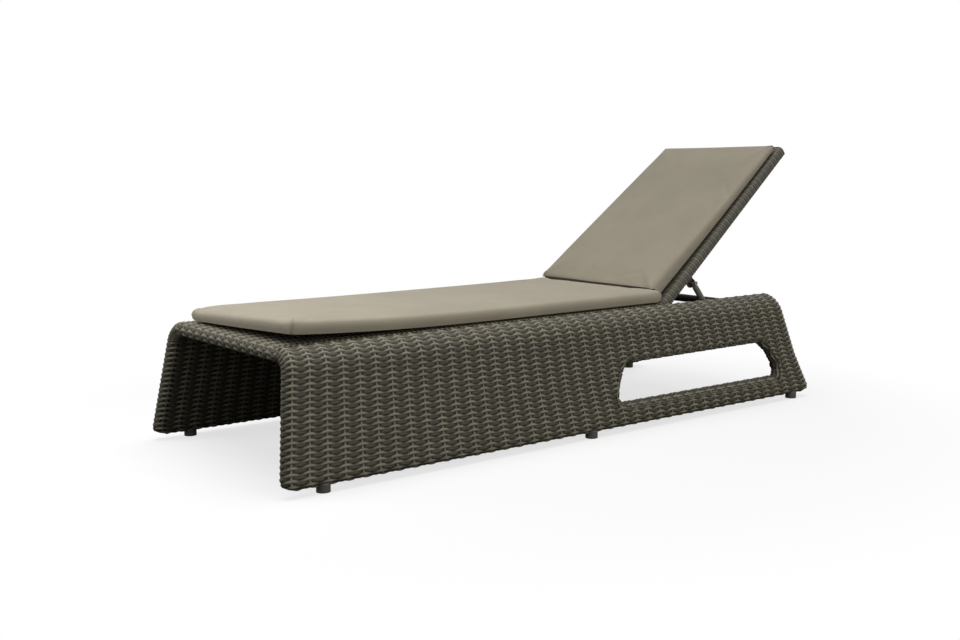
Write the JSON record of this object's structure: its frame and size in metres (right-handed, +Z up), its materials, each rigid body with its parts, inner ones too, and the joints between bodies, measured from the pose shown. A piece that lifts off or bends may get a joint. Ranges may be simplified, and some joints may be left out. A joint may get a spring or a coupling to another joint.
{
  "type": "sun lounger",
  "caption": "Woven sun lounger with splayed side panels, hand slots, a tilting back on a notched prop stay, and loose seat and back pads.",
  "frame": {"origin": "on the floor, under the middle of the whole object's box", "axes": "+X along the lounger towards the head end, +Y to its right-hand side as seen by someone lying on it with the head at +X and looking up the deck from the foot, +Z up"},
  "size_m": [2.0234, 0.81, 0.8512],
  "materials": {
    "wicker": "flat woven synthetic strand, grey-brown in two tones",
    "frame_tube": "mill-finish tube, welded",
    "stay_paint": "taupe powder coat",
    "plate_paint": "dark powder coat",
    "steel": "stainless",
    "bush_plastic": "moulded nylon",
    "foot_plastic": "moulded",
    "pad_fabric": "plain woven outdoor fabric, beige-taupe",
    "pad_foam": "open foam"
  },
  "bodies": {
    "base": {"foot_leg_left": "frame_tube", "foot_leg_right": "frame_tube", "mid_leg_left": "frame_tube", "mid_leg_right": "frame_tube", "head_leg_left": "frame_tube", "head_leg_right": "frame_tube", "head_elbow_left": "frame_tube", "head_elbow_right": "frame_tube", "seat_rail_left": "frame_tube", "seat_rail_right": "frame_tube", "head_rail_left": "frame_tube", "head_rail_right": "frame_tube", "bottom_rail_left": "frame_tube", "bottom_rail_right": "frame_tube", "slot_bar_left": "frame_tube", "slot_bar_right": "frame_tube", "foot_bow": "frame_tube", "mid_bow": "frame_tube", "deck_cross_tube": "frame_tube", "hinge_cross_tube": "frame_tube", "head_cross_tube": "frame_tube", "deck_weave": "wicker", "shoulder_weave_left": "wicker", "shoulder_weave_right": "wicker", "side_weave_left": "wicker", "side_weave_right": "wicker", "head_tube_sleeve": "wicker", "stay_rack_left": "plate_paint", "stay_rack_right": "plate_paint", "foot_screws": "steel", "rack_screws": "steel", "hinge_pins": "steel", "hinge_washers": "bush_plastic", "feet": "foot_plastic", "seat_pad_cover": "pad_fabric", "seat_pad_foam": "pad_foam"},
    "back": {"back_side_tube_left": "frame_tube", "back_side_tube_right": "frame_tube", "back_top_tube": "frame_tube", "back_middle_tube": "frame_tube", "back_seat_tube": "frame_tube", "hinge_bush_left": "bush_plastic", "hinge_bush_right": "bush_plastic", "stay_lug_left": "plate_paint", "stay_lug_right": "plate_paint", "stay_pins": "steel", "back_weave": "wicker", "back_pad_cover": "pad_fabric", "back_pad_foam": "pad_foam"},
    "stay": {"stay_arm_left": "stay_paint", "stay_arm_right": "stay_paint", "stay_foot_tube": "stay_paint"}
  },
  "joints": [
    {"name": "back_tilt", "type": "hinge", "parent": "base", "child": "back", "pos_m": [0.4127, 0, 0.33225], "axis": [0, -1, 0], "range_deg": [-39.3, 11]},
    {"name": "stay_swing", "type": "hinge", "parent": "back", "child": "stay", "pos_m": [0.5744, 0, 0.4034], "axis": [0, -1, 0], "range_deg": [-24, 80]}
  ],
  "couplings": [
    {"joint": "stay_swing", "follows": "back_tilt", "ratio": -2}
  ]
}
